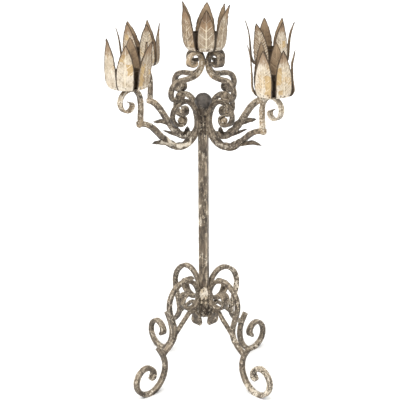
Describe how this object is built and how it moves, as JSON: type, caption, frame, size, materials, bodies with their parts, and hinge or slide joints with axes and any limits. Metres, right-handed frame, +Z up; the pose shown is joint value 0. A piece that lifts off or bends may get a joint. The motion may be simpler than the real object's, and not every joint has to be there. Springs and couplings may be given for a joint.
{
  "type": "candlestick",
  "caption": "Free-standing wrought-iron candlestick: a square post on scrolled legs carries scrolled arms and a raised crown, each with a leaf cup and a lift-out candle liner.",
  "frame": {"origin": "on the floor, under the axis of the post", "axes": "+Z up along the post; the arms, crown scrolls and legs lie along +X, +Y, -X and -Y"},
  "size_m": [0.4604, 0.457, 0.7618],
  "materials": {
    "iron_bar": "worn cream paint over taupe wrought iron, matt",
    "leaf_paint": "aged cream and ochre paint on sheet iron, matt",
    "weld_paint": "cream paint over weld metal, matt",
    "dark_iron": "dark graphite iron, dull",
    "liner_iron": "dark brown sheet iron, dull"
  },
  "bodies": {
    "frame": {"post": "iron_bar", "ball_finial": "dark_iron", "arm_back_right": "iron_bar", "candle_upright_back_right": "iron_bar", "arm_leaf_back_right": "iron_bar", "crown_scroll_back_right": "iron_bar", "foot_scroll_back_right": "iron_bar", "leg_back_right": "iron_bar", "leg_strut_back_right": "iron_bar", "arm_back_left": "iron_bar", "candle_upright_back_left": "iron_bar", "arm_leaf_back_left": "iron_bar", "crown_scroll_back_left": "iron_bar", "foot_scroll_back_left": "iron_bar", "leg_back_left": "iron_bar", "leg_strut_back_left": "iron_bar", "arm_front_left": "iron_bar", "candle_upright_front_left": "iron_bar", "arm_leaf_front_left": "iron_bar", "crown_scroll_front_left": "iron_bar", "foot_scroll_front_left": "iron_bar", "leg_front_left": "iron_bar", "leg_strut_front_left": "iron_bar", "arm_front_right": "iron_bar", "candle_upright_front_right": "iron_bar", "arm_leaf_front_right": "iron_bar", "crown_scroll_front_right": "iron_bar", "foot_scroll_front_right": "iron_bar", "leg_front_right": "iron_bar", "leg_strut_front_right": "iron_bar", "hub_welds_upper": "weld_paint", "hub_welds_lower": "weld_paint", "cup_pan_centre": "iron_bar", "cup_leaves_centre": "leaf_paint", "cup_pan_back_right": "iron_bar", "cup_leaves_back_right": "leaf_paint", "cup_pan_back_left": "iron_bar", "cup_leaves_back_left": "leaf_paint", "cup_pan_front_left": "iron_bar", "cup_leaves_front_left": "leaf_paint", "cup_pan_front_right": "iron_bar", "cup_leaves_front_right": "leaf_paint"},
    "liner_centre": {"candle_liner_centre": "liner_iron"},
    "liner_back_right": {"candle_liner_back_right": "liner_iron"},
    "liner_back_left": {"candle_liner_back_left": "liner_iron"},
    "liner_front_left": {"candle_liner_front_left": "liner_iron"},
    "liner_front_right": {"candle_liner_front_right": "liner_iron"}
  },
  "joints": [
    {"name": "lift_liner_centre", "type": "slide", "parent": "frame", "child": "liner_centre", "axis": [0, 0, 1], "range_m": [0, 0.1]},
    {"name": "lift_liner_back_right", "type": "slide", "parent": "frame", "child": "liner_back_right", "axis": [0, 0, 1], "range_m": [0, 0.1]},
    {"name": "lift_liner_back_left", "type": "slide", "parent": "frame", "child": "liner_back_left", "axis": [0, 0, 1], "range_m": [0, 0.1]},
    {"name": "lift_liner_front_left", "type": "slide", "parent": "frame", "child": "liner_front_left", "axis": [0, 0, 1], "range_m": [0, 0.1]},
    {"name": "lift_liner_front_right", "type": "slide", "parent": "frame", "child": "liner_front_right", "axis": [0, 0, 1], "range_m": [0, 0.1]}
  ]
}
